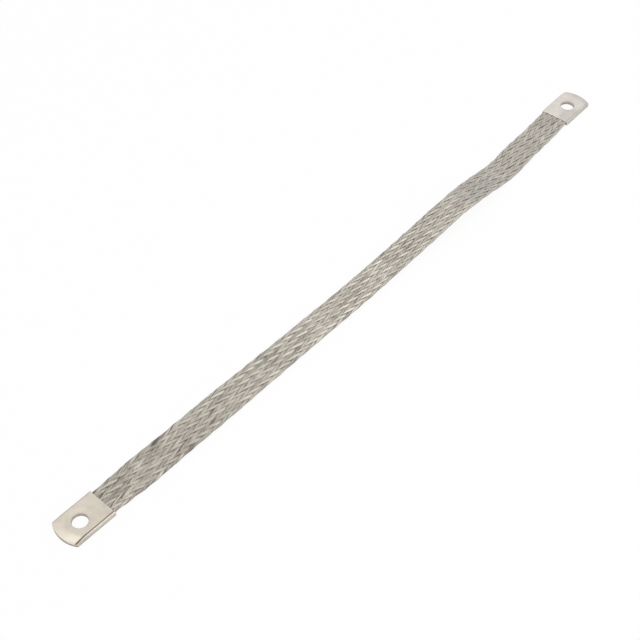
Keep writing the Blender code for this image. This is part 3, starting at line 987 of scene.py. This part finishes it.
def tinned_wire():
    """Fine tinned wire: tones between grey and warm for each float and wire, with painted shade and
    sheen.
    """
    material, tree, shader, place = new_metal("tinned_wire_strand")
    patches = noise_of(tree, place, 90.0, 3.0, 0.6)
    grain = noise_of(tree, place, 2400.0, 3.0, 0.6)
    tone = reckon(tree, "ADD", attribute(tree, "tone"), span(tree, patches, -0.16, 0.16))
    wire = tint(tree, ramp(tree, tone, WIRE_COLOURS), place, 150.0, 0.38)
    tree.links.new(wire, shader.inputs["Base Color"])
    tree.links.new(span(tree, grain, 0.28, 0.52), shader.inputs["Roughness"])
    bump = node(tree, "ShaderNodeBump", {"Height": grain, "Strength": 0.12, "Distance": 0.00005})
    tree.links.new(bump.outputs["Normal"], shader.inputs["Normal"])
    return material


# Building


def ride(thing, stands_for):
    """Fixes a piece to the part's one body and hides the CAD node that it stands for."""
    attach(thing, "root")
    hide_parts(stands_for)


def make_braid(wire, ends):
    """The carriers in several pieces, the loose wires and the pressed ends, each fixed to the part's
    body.
    """
    rng = np.random.default_rng(SEED)
    carriers = [(hand, number) for number in range(WALES) for hand in (1, -1)]
    pieces = []
    for group in range(CARRIER_PIECES):
        tubes = [carrier(hand, number, rng) for hand, number in carriers[group::CARRIER_PIECES]]
        pieces.append(tube_mesh(f"braid_carriers_{group + 1}", tubes, wire))
        sharpen_valleys(pieces[-1].data)
    pieces.append(tube_mesh("braid_loose_wires", loose_wires(rng), wire))
    for side, name in ((NEAR, "braid_pressed_near"), (FAR, "braid_pressed_far")):
        pieces.append(pressed_core(name, side, ends))
    for piece in pieces:
        ride(piece, "braid")


def make_floor():
    """A wide white floor that reads as white and keeps a soft shadow under the part."""
    data = bmesh.new()
    bmesh.ops.create_grid(data, x_segments=1, y_segments=1, size=6.0)
    floor = add_object("floor", data)
    material = bpy.data.materials.new("white_floor")
    material.use_nodes = True
    tree = material.node_tree
    tree.nodes.remove(tree.nodes["Principled BSDF"])
    output = tree.nodes["Material Output"]
    path = node(tree, "ShaderNodeLightPath").outputs
    glossy = reckon(tree, "MULTIPLY", path["Is Glossy Ray"], 0.15)
    seen = reckon(tree, "MAXIMUM", path["Is Camera Ray"], glossy)
    seen = reckon(tree, "MAXIMUM", seen, path["Is Transmission Ray"])
    share = reckon(tree, "MULTIPLY", seen, FLOOR_WHITENESS)
    plain = node(tree, "ShaderNodeBsdfDiffuse", {"Color": (0.96, 0.96, 0.96, 1.0)})
    white = node(tree, "ShaderNodeEmission", {"Color": (1.0, 1.0, 1.0, 1.0), "Strength": 1.0})
    mixed = node(tree, "ShaderNodeMixShader", {0: share, 1: plain.outputs[0], 2: white.outputs[0]})
    tree.links.new(mixed.outputs[0], output.inputs["Surface"])
    floor.data.materials.append(material)


def make_world():
    """A studio all round: grey low down, white at half height and warmer grey overhead."""
    world = bpy.data.worlds.new("studio")
    world.use_nodes = True
    bpy.context.scene.world = world
    tree = world.node_tree
    way = node(tree, "ShaderNodeTexCoord").outputs["Generated"]
    height = node(tree, "ShaderNodeSeparateXYZ", {"Vector": way}).outputs["Z"]
    seen = node(tree, "ShaderNodeLightPath").outputs["Is Camera Ray"]
    shown = mix(tree, seen, ramp(tree, height, SKY_COLOURS), BACKGROUND_COLOUR)
    tree.links.new(shown, tree.nodes["Background"].inputs["Color"])
    tree.nodes["Background"].inputs["Strength"].default_value = SKY_STRENGTH


def direction(azimuth, elevation):
    """The way from the part to a place, from its azimuth and elevation in degrees."""
    azimuth, elevation = radians(azimuth), radians(elevation)
    return Vector((sin(azimuth) * cos(elevation), -cos(azimuth) * cos(elevation), sin(elevation)))


def add_lamp(name, azimuth, elevation, distance, size, power):
    """A square soft box that looks at the middle of the part."""
    light = bpy.data.lights.new(name, "AREA")
    light.shape = "SQUARE"
    light.size = size
    light.energy = power
    lamp = bpy.data.objects.new(name, light)
    away = direction(azimuth, elevation)
    lamp.location = away * distance
    lamp.rotation_mode = "QUATERNION"
    lamp.rotation_quaternion = away.to_track_quat("Z", "Y")
    lamp.visible_camera = False
    bpy.context.scene.collection.objects.link(lamp)


def make_camera():
    """The photograph's view."""
    camera = bpy.data.objects.new("camera", bpy.data.cameras.new("camera"))
    back = direction(CAMERA_AZIMUTH, CAMERA_ELEVATION)
    camera.location = CAMERA_TARGET + back * CAMERA_DISTANCE
    camera.rotation_mode = "QUATERNION"
    camera.rotation_quaternion = (-back).to_track_quat("-Z", "Y")
    camera.data.lens = CAMERA_LENS
    camera.data.sensor_width = 36.0
    camera.data.clip_start = 0.05
    camera.data.clip_end = 50.0
    bpy.context.scene.collection.objects.link(camera)
    bpy.context.scene.camera = camera


def main():
    """Makes the looks of the whole part in its studio."""
    bpy.context.scene.view_settings.view_transform = "Standard"
    make_camera()
    make_world()
    for name, settings in LAMPS.items():
        add_lamp(name, *settings)
    make_floor()
    make_braid(tinned_wire(), cut_wire())
    for side, name in ((NEAR, "near_palm"), (FAR, "far_palm")):
        plate = tinned_tube(name + "_plate", PLATE[side])
        ride(make_palm(name + "_tube", side, plate), name)


main()
